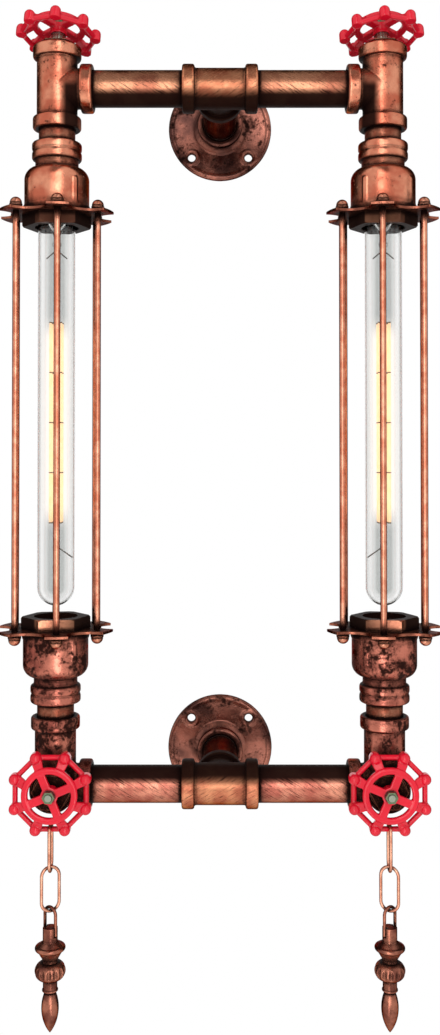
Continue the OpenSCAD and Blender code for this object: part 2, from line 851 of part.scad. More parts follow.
// Half section of the disc with a rounded rim, a sloping top and a cone down to the waist
module disc_section(top, waist) {
  rim_r = pendant_disc_t / 2;
  rim_x = pendant_disc_d / 2 - rim_r;
  stem_r = pendant_stem_d / 2;
  polygon([
    [0, top + disc_foot], [stem_r, top + disc_foot], [rim_x, top], [rim_x, top - pendant_disc_t],
    [pendant_waist_d / 2, waist], [pendant_waist_d / 2, waist - 2 * waist_land], [0, waist - 2 * waist_land]
  ]);
  translate([rim_x, top - rim_r]) circle(r = rim_r);
}

// Half section of the belly: straight core with a round edge as high as the belly
module belly_section() {
  edge_r = pendant_belly_h / 2;
  core = pendant_belly_d / 2 - edge_r;
  translate([0, -edge_r]) square([core + over, 2 * edge_r]);
  translate([core, 0]) intersection() {
    circle(r = edge_r);
    translate([0, -edge_r]) square([edge_r, 2 * edge_r]);
  }
}

// Half section of a bud: two arcs that meet at its widest radius on z = 0
module bud_section(r, above, below) {
  upper_arc = (above * above + r * r) / (2 * r);
  lower_arc = (below * below + r * r) / (2 * r);
  intersection() {
    translate([r - 2 * upper_arc, 0]) circle(r = 2 * upper_arc);
    square([r, above]);
  }
  intersection() {
    translate([r - lower_arc, 0]) circle(r = lower_arc);
    translate([0, -below]) square([r, below]);
  }
}

// Lead from a lampholder through the top tee, crossbar, middle tee and standoff to the wall
module supply_lead(level) {
  start = holder_mouth + cavity_h;
  cross = column_spread / 2;
  color(lead_black) {
    translate([0, 0, start]) cylinder(d = lead_d, h = level - lead_bend - start);
    translate([lead_bend, 0, level - lead_bend]) rotate([90, 0, 0]) rotate([0, 0, 90]) lead_elbow();
    translate([lead_bend, 0, level]) to_side() cylinder(d = lead_d, h = cross - 2 * lead_bend);
    translate([cross - lead_bend, lead_bend, level]) rotate([0, 0, -90]) lead_elbow();
    translate([cross, lead_bend, level]) to_wall() cylinder(d = lead_d, h = standoff - lead_bend);
  }
}

module lead_elbow() { rotate_extrude(angle = 90) translate([lead_bend, 0]) circle(d = lead_d); }

module upper_bell() { translate([0, 0, holder_mouth]) children(); }
module lower_bell() { translate([0, 0, cup_mouth]) mirror([0, 0, 1]) children(); }
module top_mouth() { translate([0, 0, tee_run]) children(); }
module top_stem_place() { top_mouth() rotate(top_lean) children(); }
module front_mouth() { at_foot() to_front() translate([0, 0, boss_reach]) children(); }
module at_foot() { translate([0, 0, -bar_drop]) children(); }
module at_chain(z) { translate([0, -chain_reach, z]) children(); }
module at_pendant() { at_chain(pendant_top) rotate([0, 0, -bail_turn]) children(); }
module upper_link() { at_chain(upper_link_top) rotate([0, 0, 90]) chain_link(upper_link_len); }
module lower_link() { at_chain(lower_link_top) rotate([0, 0, link_turn]) chain_link(lower_link_len); }
module top_wheel_place() {
  top_stem_place() translate([0, 0, top_wheel_lift]) rotate([0, 0, top_wheel_turn - 90]) children();
}
module front_wheel_place() {
  front_mouth() translate([0, 0, front_wheel_lift]) rotate([0, 0, knuckle_pitch / 2]) children();
}
module top_stem() { top_stem_place() wheel_stem(top_wheel_lift); }
module top_wheel_nut() { top_stem_place() wheel_nut(top_wheel_lift); }
module front_stem() { front_mouth() wheel_stem(front_wheel_lift); }
module front_wheel_nut() { front_mouth() wheel_nut(front_wheel_lift); }
module upper_cage_end() { upper_bell() translate([0, 0, -plate_t]) rotate([0, 0, cage_turn]) children(); }
module lower_cage_end() { lower_bell() translate([0, 0, -plate_t]) rotate([0, 0, cage_turn]) children(); }

module upper_wall_flange() { to_front() wall_flange(); }
module lower_wall_flange() { at_foot() to_front() wall_flange(); }
module upper_standoff_pipe() { standoff_pipe(); }
module lower_standoff_pipe() { at_foot() standoff_pipe(); }
module upper_middle_tee() { translate([0, -standoff, 0]) middle_tee(); }
module lower_middle_tee() { at_foot() translate([0, -standoff, 0]) middle_tee(); }
module column_nipples() {
  length = nipple_show + 2 * (pipe_grip - slack);
  both_columns() {
    translate([0, 0, holder_top - pipe_grip + slack]) pipe(length);
    translate([0, 0, corner_rise - bar_drop - pipe_grip + slack]) pipe(length);
  }
}
module ring_nuts() {
  both_columns() {
    upper_cage_end() ring_nut();
    lower_cage_end() ring_nut();
  }
}
module cage_nuts() {
  both_columns() rotate([0, 0, cage_turn]) around_cage() {
    upper_bell() cap_nut();
    lower_bell() cap_nut();
  }
}
module stem_plugs() {
  both_columns() {
    top_mouth() stem_plug(top_lean);
    front_mouth() stem_plug([0, 0, 0]);
  }
}
module socket_bodies() { both_columns() upper_bell() socket_body(); }
module socket_shells() { both_columns() upper_bell() socket_shell(); }
module socket_contacts() { both_columns() upper_bell() socket_contact(); }
module bulb_mounts() { both_columns() upper_bell() bulb_mount(); }
module all_bulb_wires() { both_columns() upper_bell() bulb_wires(); }
module bulb_filaments() { both_columns() upper_bell() bulb_filament(); }
module supply_leads() {
  left_column() supply_lead(lead_d / 2 + slack);
  right_column() supply_lead(-lead_d / 2 - slack);
}

upper_wall_flange();
lower_wall_flange();
upper_standoff_pipe();
lower_standoff_pipe();
upper_middle_tee();
lower_middle_tee();
left_column() crossbar();  // upper_left_crossbar
right_column() crossbar();  // upper_right_crossbar
at_foot() left_column() crossbar();  // lower_left_crossbar
at_foot() right_column() crossbar();  // lower_right_crossbar
left_column() top_tee();  // left_top_tee
right_column() top_tee();  // right_top_tee
left_column() top_stem();  // left_top_stem
right_column() top_stem();  // right_top_stem
left_column() top_wheel_place() handwheel();  // left_top_handwheel
right_column() top_wheel_place() handwheel();  // right_top_handwheel
left_column() top_wheel_nut();  // left_top_wheel_nut
right_column() top_wheel_nut();  // right_top_wheel_nut
left_column() upper_bell() bell();  // left_holder
right_column() upper_bell() bell();  // right_holder
left_column() upper_cage_end() cage_plate();  // left_upper_plate
right_column() upper_cage_end() cage_plate();  // right_upper_plate
left_column() cage_rods();  // left_cage_rods
right_column() cage_rods();  // right_cage_rods
left_column() lower_cage_end() cage_plate();  // left_lower_plate
right_column() lower_cage_end() cage_plate();  // right_lower_plate
left_column() lower_bell() bell();  // left_lower_cup
right_column() lower_bell() bell();  // right_lower_cup
left_column() at_foot() corner_fitting();  // left_corner_fitting
right_column() at_foot() corner_fitting();  // right_corner_fitting
left_column() front_stem();  // left_front_stem
right_column() front_stem();  // right_front_stem
left_column() front_wheel_place() handwheel();  // left_front_handwheel
right_column() front_wheel_place() handwheel();  // right_front_handwheel
left_column() front_wheel_nut();  // left_front_wheel_nut
right_column() front_wheel_nut();  // right_front_wheel_nut
left_column() upper_link();  // left_upper_link
right_column() upper_link();  // right_upper_link
left_column() lower_link();  // left_lower_link
right_column() lower_link();  // right_lower_link
left_column() at_pendant() pendant();  // left_pendant
right_column() at_pendant() pendant();  // right_pendant
left_column() at_pendant() bail();  // left_bail
right_column() at_pendant() bail();  // right_bail
left_column() upper_bell() bulb_cap();  // left_bulb_cap
right_column() upper_bell() bulb_cap();  // right_bulb_cap
left_column() upper_bell() bulb_glass();  // left_bulb_glass
right_column() upper_bell() bulb_glass();  // right_bulb_glass
column_nipples();
ring_nuts();
cage_nuts();
stem_plugs();
socket_bodies();
socket_shells();
socket_contacts();
bulb_mounts();
all_bulb_wires();  // bulb_wires
bulb_filaments();
supply_leads();
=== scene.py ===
import math

import bmesh
import bpy
from mathutils import Matrix, Vector


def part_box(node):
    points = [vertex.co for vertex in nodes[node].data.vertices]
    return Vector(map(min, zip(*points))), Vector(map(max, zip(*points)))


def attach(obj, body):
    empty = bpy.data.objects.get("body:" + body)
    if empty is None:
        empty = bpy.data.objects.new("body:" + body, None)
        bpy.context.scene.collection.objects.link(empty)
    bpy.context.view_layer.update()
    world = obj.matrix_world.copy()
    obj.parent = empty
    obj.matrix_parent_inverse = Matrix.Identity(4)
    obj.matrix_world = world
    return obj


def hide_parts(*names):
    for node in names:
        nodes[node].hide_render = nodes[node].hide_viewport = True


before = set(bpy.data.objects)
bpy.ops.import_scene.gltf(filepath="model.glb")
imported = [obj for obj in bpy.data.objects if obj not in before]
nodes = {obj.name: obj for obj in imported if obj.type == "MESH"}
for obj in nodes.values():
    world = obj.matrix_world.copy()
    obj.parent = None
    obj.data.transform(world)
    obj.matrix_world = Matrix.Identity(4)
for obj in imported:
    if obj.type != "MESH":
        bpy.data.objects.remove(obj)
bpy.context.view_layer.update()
scene = bpy.context.scene
scene.view_settings.view_transform = "Standard"

mm = 0.001
photo_rows = 1035
column_y = -107 * mm
eye_height = -276 * mm
eye_reach = 820 * mm
eye_pitch = math.radians(1.01)
focal_rows = 1091.4
axis_row = 435.1
sensor_width = 36
cage_turn = math.radians(9)
rod_circle = 34.6 * mm
rod_count = 6
link_turn = math.radians(25)
link_width = 15.6 * mm
link_wire = 2.4 * mm


# Camera at the photograph's place: about midway between the crossbars, tipped up a little
def add_camera():
    lens = bpy.data.cameras.new("photo_camera")
    lens.sensor_width = sensor_width
    lens.lens = sensor_width * focal_rows / photo_rows
    lens.shift_y = (axis_row - photo_rows / 2) / photo_rows
    camera = bpy.data.objects.new("photo_camera", lens)
    camera.location = (0, column_y - eye_reach, eye_height)
    camera.rotation_euler = (math.radians(90) + eye_pitch, 0, 0)
    scene.collection.objects.link(camera)
    scene.camera = camera


# Node building
def put(tree, kind, settings=None, **sockets):
    made = tree.nodes.new(kind)
    for key, value in (settings or {}).items():
        setattr(made, key, value)
    for key, value in sockets.items():
        socket = made.inputs[int(key[1:])] if key[0] == "_" else made.inputs[key.replace("_", " ")]
        if isinstance(value, bpy.types.NodeSocket):
            tree.links.new(value, socket)
        else:
            socket.default_value = value
    return made


def math_node(tree, operation, first, second=0.0, clamp=False):
    made = put(tree, "ShaderNodeMath", {"operation": operation, "use_clamp": clamp}, _0=first, _1=second)
    return made.outputs[0]


def mix_colour(tree, factor, first, second):
    return put(tree, "ShaderNodeMix", {"data_type": "RGBA"}, _0=factor, _6=first, _7=second).outputs[2]


def mix_value(tree, factor, first, second):
    return put(tree, "ShaderNodeMix", {"data_type": "FLOAT"}, _0=factor, _2=first, _3=second).outputs[0]


def step_up(tree, value, low, high):
    made = put(tree, "ShaderNodeMapRange", {"interpolation_type": "SMOOTHSTEP"}, Value=value)
    for key, edge in (("From Min", low), ("From Max", high)):
        if isinstance(edge, bpy.types.NodeSocket):
            tree.links.new(edge, made.inputs[key])
        else:
            made.inputs[key].default_value = edge
    return made.outputs[0]


def noise(tree, vector, scale, detail=4.0, roughness=0.6, distortion=0.0):
    made = put(tree, "ShaderNodeTexNoise", Vector=vector, Scale=scale, Detail=detail, Roughness=roughness,
               Distortion=distortion)
    return made.outputs[0]


socket_kinds = {"value": "NodeSocketFloat", "colour": "NodeSocketColor", "vector": "NodeSocketVector",
                "count": "NodeSocketInt", "piece": "NodeSocketObject", "finish": "NodeSocketMaterial",
                "shape": "NodeSocketGeometry"}


def new_group(name, kind, inputs, outputs):
    tree = bpy.data.node_groups.new(name, kind)
    for label, sort in inputs:
        tree.interface.new_socket(label, in_out="INPUT", socket_type=socket_kinds[sort])
    for label, sort in outputs:
        tree.interface.new_socket(label, in_out="OUTPUT", socket_type=socket_kinds[sort])
    given = tree.nodes.new("NodeGroupInput").outputs
    result = tree.nodes.new("NodeGroupOutput").inputs
    return tree, given, result


bright_copper = (0.82, 0.33, 0.2, 1)
warm_copper = (0.58, 0.15, 0.085, 1)
# Dark ground under the rubbed copper; the same colour paints shade
dark_ground_and_shade = (0.009, 0.0035, 0.003, 1)
copper_rough = 0.2
ground_rough = 0.5
ground_metal = 0.15


# Copper paint rubbed back over a dark ground: patches of dark ground; dark ground kept in recesses, with
# painted shade there too; bright edges of rubbed wear, with a painted highlight there too
def rubbed_copper_group():
    tree, given, result = new_group(
        "rubbed_copper", "ShaderNodeTree",
        [("Vector", "vector"), ("Recess", "value"), ("Edge", "value"), ("Patch Scale", "value"),
         ("Patch Amount", "value"), ("Bright", "colour"), ("Middle", "colour"), ("Dark", "colour")],
        [("Colour", "colour"), ("Metal", "value"), ("Rough", "value"), ("Height", "value")])
    vector = given["Vector"]
    broad = noise(tree, vector, given["Patch Scale"], 6.0, 0.68, 0.4)
    fleck = noise(tree, vector, math_node(tree, "MULTIPLY", given["Patch Scale"], 5.0), 4.0, 0.7)
    grain = noise(tree, vector, 1400.0, 2.0, 0.5)
    rubbed = mix_value(tree, 0.35, broad, fleck)
    threshold = math_node(tree, "SUBTRACT", 0.86, math_node(tree, "MULTIPLY", given["Patch Amount"], 0.55))
    patch = step_up(tree, rubbed, threshold, math_node(tree, "ADD", threshold, 0.12))
    # Recess darkening: dark ground kept in hollows, and painted shade in hollows and seams
    ragged = math_node(tree, "ADD", given["Recess"], math_node(tree, "MULTIPLY", fleck, 0.12))
    recess = step_up(tree, ragged, 0.09, 0.22)
    ground_and_shade = math_node(tree, "MAXIMUM", math_node(tree, "MULTIPLY", patch, 0.97), recess)
    # Edges rubbed clean of dark ground: wear, with a painted highlight too
    ground_and_shade = math_node(tree, "SUBTRACT", ground_and_shade, math_node(tree, "MULTIPLY", given["Edge"], 0.6), True)
    cloud = noise(tree, vector, math_node(tree, "MULTIPLY", given["Patch Scale"], 0.6), 3.0, 0.55)
    shade = step_up(tree, cloud, 0.35, 0.68)
    copper = mix_colour(tree, shade, given["Middle"], given["Bright"])
    # Edges lightened towards the bright colour: rubbed wear, with a painted highlight too
    copper = mix_colour(tree, math_node(tree, "MULTIPLY", given["Edge"], 0.7, True), copper, given["Bright"])
    colour = mix_colour(tree, ground_and_shade, copper, given["Dark"])
    tree.links.new(colour, result["Colour"])
    tree.links.new(mix_value(tree, ground_and_shade, 1.0, ground_metal), result["Metal"])
    uneven = math_node(tree, "MULTIPLY", math_node(tree, "SUBTRACT", grain, 0.5), 0.16)
    rough = math_node(tree, "ADD", mix_value(tree, ground_and_shade, copper_rough, ground_rough), uneven)
    tree.links.new(rough, result["Rough"])
    fine = math_node(tree, "MULTIPLY", grain, 0.35)
    height = math_node(tree, "ADD", fine, math_node(tree, "MULTIPLY", fleck, 0.9))
    tree.links.new(height, result["Height"])
    return tree


# Slanting strokes of a dry brush
def brush_strokes_group():
    tree, given, result = new_group(
        "brush_strokes", "ShaderNodeTree",
        [("Vector", "vector"), ("Slant", "value"), ("Fineness", "value"), ("Cover", "value")],
        [("Stroke", "value")])
    turned_way = put(tree, "ShaderNodeVectorRotate", {"rotation_type": "Z_AXIS"}, Vector=given["Vector"],
                     Angle=given["Slant"])
    along = math_node(tree, "MULTIPLY", given["Fineness"], 0.07)
    stretch = put(tree, "ShaderNodeCombineXYZ", X=along, Y=given["Fineness"], Z=1.0)
    stretched = put(tree, "ShaderNodeVectorMath", {"operation": "MULTIPLY"}, _0=turned_way.outputs[0],
                    _1=stretch.outputs[0])
    hairs = noise(tree, stretched.outputs[0], 1.0, 5.0, 0.62, 0.3)
    limit = math_node(tree, "SUBTRACT", 0.78, math_node(tree, "MULTIPLY", given["Cover"], 0.5))
    tree.links.new(step_up(tree, hairs, limit, math_node(tree, "ADD", limit, 0.16)), result["Stroke"])
    return tree


# Thin grime, painted shade in recesses and orange peel for painted and plated pieces
def grime_and_shade_paint_group():
    tree, given, result = new_group(
        "grime_and_shade_paint", "ShaderNodeTree",
        [("Vector", "vector"), ("Recess", "value"), ("Base", "colour"), ("Deep", "colour"),
         ("Gloss", "value")],
        [("Colour", "colour"), ("Rough", "value"), ("Height", "value")])
    peel = noise(tree, given["Vector"], 520.0, 3.0, 0.5)
    cloud = noise(tree, given["Vector"], 90.0, 4.0, 0.6)
    ragged = math_node(tree, "ADD", given["Recess"], math_node(tree, "MULTIPLY", cloud, 0.3))
    # Painted shade: recesses darkened towards the deep colour
    recess_shade = step_up(tree, ragged, 0.32, 0.85)
    tint = mix_colour(tree, math_node(tree, "MULTIPLY", cloud, 0.35), given["Base"], given["Deep"])
    tree.links.new(mix_colour(tree, recess_shade, tint, given["Deep"]), result["Colour"])
    rough = math_node(tree, "ADD", given["Gloss"], math_node(tree, "MULTIPLY", cloud, 0.14))
    rough = math_node(tree, "ADD", rough, math_node(tree, "MULTIPLY", recess_shade, 0.2))
    tree.links.new(rough, result["Rough"])
    tree.links.new(math_node(tree, "ADD", math_node(tree, "MULTIPLY", peel, 0.6), cloud), result["Height"])
    return tree


rubbed_copper = rubbed_copper_group()
brush_strokes = brush_strokes_group()
grime_and_shade_paint = grime_and_shade_paint_group()


def new_finish(name):
    finish = bpy.data.materials.new(name)
    finish.use_nodes = True
    tree = finish.node_tree
    return finish, tree, tree.nodes["Principled BSDF"], put(tree, "ShaderNodeTexCoord").outputs["Object"]


# How far a spot lies in a hollow: a wide soft measure and a tight one for seams; it drives painted shade in
# hollows and seams
def hollow_shade_mask(tree, reach):
    wide = put(tree, "ShaderNodeAmbientOcclusion", {"samples": 6}, Distance=reach).outputs["AO"]
    tight = put(tree, "ShaderNodeAmbientOcclusion", {"samples": 6}, Distance=0.3 * reach).outputs["AO"]
    soft = math_node(tree, "MULTIPLY", math_node(tree, "SUBTRACT", 1.0, wide, True), 0.7)
    seam = math_node(tree, "MULTIPLY", math_node(tree, "SUBTRACT", 1.0, tight, True), 0.9)
    return math_node(tree, "ADD", soft, seam)


# Convex edges, found by occlusion inside the solid, for rubbed wear and a painted highlight
def edge_wear_and_highlight_mask(tree, reach):
    shade = put(tree, "ShaderNodeAmbientOcclusion", {"samples": 6, "inside": True}, Distance=reach)
    return step_up(tree, math_node(tree, "SUBTRACT", 1.0, shade.outputs["AO"]), 0.3, 0.6)


def raise_surface(tree, shader, height, depth):
    bump = put(tree, "ShaderNodeBump", Strength=1.0, Distance=depth, Height=height)
    tree.links.new(bump.outputs[0], shader.inputs["Normal"])


# Rubbed copper; strokes are brushed over it, and painted shade in the dark ground colour is laid between
# bounds along the axes
def copper_finish(name, patch_scale, patch_amount, bright=bright_copper, middle=warm_copper, strokes=None,
                  painted_shade_bounds=(), hollow=10 * mm, edge=1.6 * mm):
    finish, tree, shader, place = new_finish(name)
    worn = put(tree, "ShaderNodeGroup", {"node_tree": rubbed_copper}, Vector=place,
               Recess=hollow_shade_mask(tree, hollow), Edge=edge_wear_and_highlight_mask(tree, edge), Patch_Scale=patch_scale,
               Patch_Amount=patch_amount, Bright=bright, Middle=middle, Dark=dark_ground_and_shade)
    colour, metal, rough = worn.outputs["Colour"], worn.outputs["Metal"], worn.outputs["Rough"]
    if strokes:
        slant, fineness, cover, unrolled = strokes
        spot = put(tree, "ShaderNodeSeparateXYZ", Vector=place).outputs
        flat = put(tree, "ShaderNodeCombineXYZ", X=spot["X"], Y=spot["Z"]).outputs[0]
        if unrolled:
            flat = put(tree, "ShaderNodeUVMap", {"uv_map": "unrolled"}).outputs[0]
        brushed = put(tree, "ShaderNodeGroup", {"node_tree": brush_strokes}, Vector=flat, Slant=slant,
                      Fineness=fineness, Cover=cover).outputs["Stroke"]
        ground_and_shade = math_node(tree, "MULTIPLY", brushed, 0.95)
        # Painted shade: each bounded side is covered with the dark ground colour
        for bounds in painted_shade_bounds:
            kept = 0.98
            for axis, level, way, fade in bounds:
                reach = math_node(tree, "ABSOLUTE", spot["X"]) if axis == "X" else spot[axis]
                depth = math_node(tree, "MULTIPLY", math_node(tree, "SUBTRACT", reach, level), way)
                ragged = math_node(tree, "ADD", depth, math_node(tree, "MULTIPLY", brushed, 4 * mm))
                kept = math_node(tree, "MULTIPLY", step_up(tree, ragged, -1 * mm, fade), kept)
            ground_and_shade = math_node(tree, "MAXIMUM", ground_and_shade, kept)
        colour = mix_colour(tree, ground_and_shade, colour, dark_ground_and_shade)
        metal = mix_value(tree, ground_and_shade, metal, ground_metal)
        rough = mix_value(tree, ground_and_shade, rough, ground_rough)
    tree.links.new(colour, shader.inputs["Base Color"])
    tree.links.new(metal, shader.inputs["Metallic"])
    tree.links.new(rough, shader.inputs["Roughness"])
    shader.inputs["Specular Tint"].default_value = (0.2, 0.1, 0.07, 1)
    shader.inputs["Specular IOR Level"].default_value = 0.08
    raise_surface(tree, shader, worn.outputs["Height"], 0.12 * mm)
    return finish


def painted_finish(name, base, deep, gloss, metal=0.0, coat=0.0, shine=0.5):
    finish, tree, shader, place = new_finish(name)
    paint = put(tree, "ShaderNodeGroup", {"node_tree": grime_and_shade_paint}, Vector=place,
                Recess=hollow_shade_mask(tree, 5 * mm), Base=base, Deep=deep, Gloss=gloss)
    tree.links.new(paint.outputs["Colour"], shader.inputs["Base Color"])
    tree.links.new(paint.outputs["Rough"], shader.inputs["Roughness"])
    shader.inputs["Metallic"].default_value = metal
    shader.inputs["Coat Weight"].default_value = coat
    shader.inputs["Specular IOR Level"].default_value = shine
    shader.inputs["Coat Roughness"].default_value = 0.06
    raise_surface(tree, shader, paint.outputs["Height"], 0.04 * mm)
    return finish


# Clear glass: painted grey where it is looked through squarely and at its rim, standing in for reflection,
# and a painted warm glow beside the glowing strands
def glass_finish(name, grey, clear, glow):
    finish, tree, shader, place = new_finish(name)
    haze = noise(tree, place, 60.0, 3.0, 0.5)
    facing = put(tree, "ShaderNodeLayerWeight", Blend=0.5).outputs["Facing"]
    # Painted reflection: grey tint set by the viewing angle
    painted_grey_band = math_node(tree, "MULTIPLY", step_up(tree, facing, 0.06, 0.16), step_up(tree, facing, 0.62, 0.44))
    low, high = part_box("bulb_filaments")
    height = put(tree, "ShaderNodeSeparateXYZ", Vector=place).outputs["Z"]
    # Painted glow: at the strands' height the glass turns clearer and gives off warm light
    painted_glow_band = math_node(tree, "MULTIPLY", step_up(tree, height, low.z - 8 * mm, low.z + 14 * mm),
                    step_up(tree, height, high.z + 8 * mm, high.z - 14 * mm))
    painted_glow_band = math_node(tree, "MULTIPLY", painted_glow_band, step_up(tree, facing, 0.3, 0.02))
    tree.links.new(mix_value(tree, haze, 0.0, 0.03), shader.inputs["Roughness"])
    tint = mix_colour(tree, painted_grey_band, mix_colour(tree, painted_glow_band, grey, clear), clear)
    tree.links.new(tint, shader.inputs["Base Color"])
    tree.links.new(mix_colour(tree, painted_glow_band, (0, 0, 0, 1), glow), shader.inputs["Emission Color"])
    shader.inputs["Emission Strength"].default_value = 1.0
    shader.inputs["Transmission Weight"].default_value = 1.0
    shader.inputs["IOR"].default_value = 1.46
    return finish


# Lit strand: amber, uneven along its length
def lit_strand_finish(name):
    finish, tree, shader, place = new_finish(name)
    glow = mix_colour(tree, noise(tree, place, 160.0, 2.0, 0.5), (1.0, 0.54, 0.24, 1), (1.0, 0.74, 0.48, 1))
    tree.links.new(glow, shader.inputs["Base Color"])
    tree.links.new(glow, shader.inputs["Emission Color"])
    shader.inputs["Emission Strength"].default_value = 0.95
    shader.inputs["Roughness"].default_value = 0.6
    return finish


# Painted shade: the upper bars darkened underneath and the lower bars on top
upper_pipe_painted_shade_below = [[("Z", -4 * mm, -1.0, 4 * mm)]]
lower_pipe_painted_shade_above = [[("Z", -518 * mm, 1.0, 4 * mm)]]
# Painted shade: the upper middle tee darkened underneath and the lower one on top
upper_tee_painted_shade_below = [[("Z", -3 * mm, -1.0, 8 * mm)]]
lower_tee_painted_shade_above = [[("Z", -520 * mm, 1.0, 8 * mm)]]
# Painted shade on the inner side of the top tees, where the branch leaves, below the middle
top_tee_neck_painted_shade = [[("X", 119 * mm, -1.0, 5 * mm), ("X", 105 * mm, 1.0, 2 * mm), ("Z", 7 * mm, -1.0, 10 * mm)]]
# Painted shade on the ring nuts' sides behind their front faces; the nuts are also darker towards the top
ring_nut_painted_shade = [[("Y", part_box("ring_nuts")[0].y + 1.5 * mm, 1.0, 4 * mm)], [("Z", -300 * mm, 1.0, 260 * mm)]]
pipe_strokes = (math.radians(-32), 1300.0, 0.55, True)
tee_strokes = (math.radians(-32), 1300.0, 0.5, False)
neck_strokes = (math.radians(-32), 1100.0, 0.3, False)
cast_copper = copper_finish("rubbed_cast_copper", 100.0, 0.56)
top_tee_copper_shaded_neck = copper_finish("top_tee_copper_shaded_neck", 100.0, 0.6, strokes=neck_strokes, painted_shade_bounds=top_tee_neck_painted_shade)
# Darker copper with more dark patches, for the corner fittings and lower cups
lower_cast_copper_darker = copper_finish("darker_lower_cast_copper", 55.0, 0.75, (0.72, 0.24, 0.165, 1), (0.32, 0.082, 0.06, 1))
flange_copper = copper_finish("brown_flange_copper", 60.0, 0.68, (0.46, 0.172, 0.122, 1),
                              (0.085, 0.035, 0.029, 1), hollow=5 * mm, edge=3 * mm)
standoff_copper = copper_finish("standoff_copper", 120.0, 0.3, (0.5, 0.3, 0.25, 1), (0.34, 0.19, 0.155, 1),
                                hollow=3 * mm)
upper_pipe_copper_shaded_below = copper_finish("brushed_pipe_copper_shaded_below", 90.0, 0.4, (0.84, 0.37, 0.21, 1),
                                  (0.5, 0.17, 0.1, 1), pipe_strokes, upper_pipe_painted_shade_below)
lower_pipe_copper_shaded_above = copper_finish("brown_pipe_copper_shaded_above", 90.0, 0.4, (0.82, 0.33, 0.22, 1),
                                  (0.5, 0.14, 0.1, 1), pipe_strokes, lower_pipe_painted_shade_above)
upper_tee_copper_shaded_below = copper_finish("upper_tee_copper_shaded_below", 140.0, 0.5, (0.88, 0.36, 0.19, 1), (0.62, 0.19, 0.1, 1),
                                 tee_strokes, upper_tee_painted_shade_below)
lower_tee_copper_shaded_above = copper_finish("lower_tee_copper_shaded_above", 140.0, 0.5, (0.88, 0.36, 0.19, 1), (0.6, 0.18, 0.1, 1),
                                 tee_strokes, lower_tee_painted_shade_above)
nipple_copper = copper_finish("nipple_copper", 160.0, 0.5)
dark_copper = copper_finish("dark_turned_copper", 160.0, 0.5, (0.56, 0.21, 0.13, 1), (0.26, 0.085, 0.055, 1))
pendant_copper = copper_finish("pendant_copper", 120.0, 0.56, (0.52, 0.195, 0.125, 1),
                               (0.18, 0.058, 0.042, 1), hollow=8 * mm)
ring_nut_copper_shaded = copper_finish("ring_nut_copper_shaded", 110.0, 0.5, (0.7, 0.31, 0.18, 1), (0.4, 0.15, 0.09, 1),
                                neck_strokes, ring_nut_painted_shade, hollow=4 * mm)
rod_copper = copper_finish("rod_copper", 180.0, 0.36, (0.84, 0.36, 0.23, 1), (0.6, 0.19, 0.11, 1))
plate_copper = copper_finish("plate_copper", 160.0, 0.62, (0.44, 0.15, 0.09, 1), (0.22, 0.07, 0.045, 1))
chain_copper = copper_finish("chain_copper", 220.0, 0.3, (0.9, 0.46, 0.31, 1), (0.62, 0.25, 0.16, 1),
                             hollow=3 * mm)
red_enamel = painted_finish("red_enamel", (0.82, 0.006, 0.028, 1), (0.05, 0.001, 0.003, 1), 0.14,
                            coat=0.35, shine=0.3)
olive_zinc = painted_finish("olive_zinc", (0.2, 0.26, 0.15, 1), (0.06, 0.08, 0.05, 1), 0.22, metal=1.0)
bright_steel = painted_finish("bright_steel", (0.4, 0.43, 0.34, 1), (0.3, 0.32, 0.28, 1), 0.18, metal=1.0)
brass = painted_finish("cap_brass", (0.78, 0.56, 0.24, 1), (0.4, 0.24, 0.08, 1), 0.22, metal=1.0)
porcelain = painted_finish("glazed_porcelain", (0.86, 0.84, 0.78, 1), (0.5, 0.46, 0.4, 1), 0.12, coat=0.5)
lead_sheath = painted_finish("lead_sheath", (0.03, 0.03, 0.03, 1), (0.012, 0.012, 0.012, 1), 0.45)
support_wire = painted_finish("support_wire", (0.3, 0.28, 0.25, 1), (0.12, 0.1, 0.09, 1), 0.3, metal=1.0)
tube_glass = glass_finish("tube_glass", (0.7, 0.71, 0.7, 1), (0.98, 0.98, 0.975, 1), (0.05, 0.028, 0.008, 1))
lit_strand = lit_strand_finish("lit_strand")


# Mesh making
def plain_object(name, mesh):
    made = bpy.data.objects.new(name, mesh)
    scene.collection.objects.link(made)
    return made


def settled(piece):
    shown = piece.evaluated_get(bpy.context.evaluated_depsgraph_get())
    mesh = bpy.data.meshes.new_from_object(shown)
    piece.modifiers.clear()
    old, piece.data = piece.data, mesh
    bpy.data.meshes.remove(old)
    return piece


def merged_copy(name, node):
    mesh = nodes[node].data.copy()
    shape = bmesh.new()
    shape.from_mesh(mesh)
    bmesh.ops.remove_doubles(shape, verts=shape.verts, dist=2e-6)
    shape.to_mesh(mesh)
    shape.free()
    if "custom_normal" in mesh.attributes:
        mesh.attributes.remove(mesh.attributes["custom_normal"])
    mesh.materials.clear()
    return plain_object(name, mesh)


def smooth_faces(piece):
    for face in piece.data.polygons:
        face.use_smooth = True
    return piece


# Cast piece: the solid's skin rounded at every edge and filled in at every corner
def cast_copy(name, node, skin, rounds, keep):
    piece = merged_copy(name, node)
    cast = piece.modifiers.new("skin", "REMESH")
    cast.mode = "VOXEL"
    cast.voxel_size = skin
    fettle = piece.modifiers.new("fettle", "SMOOTH")
    fettle.factor = 0.5
    fettle.iterations = rounds
    thin = piece.modifiers.new("thin", "DECIMATE")
    thin.ratio = keep
    return smooth_faces(settled(piece))


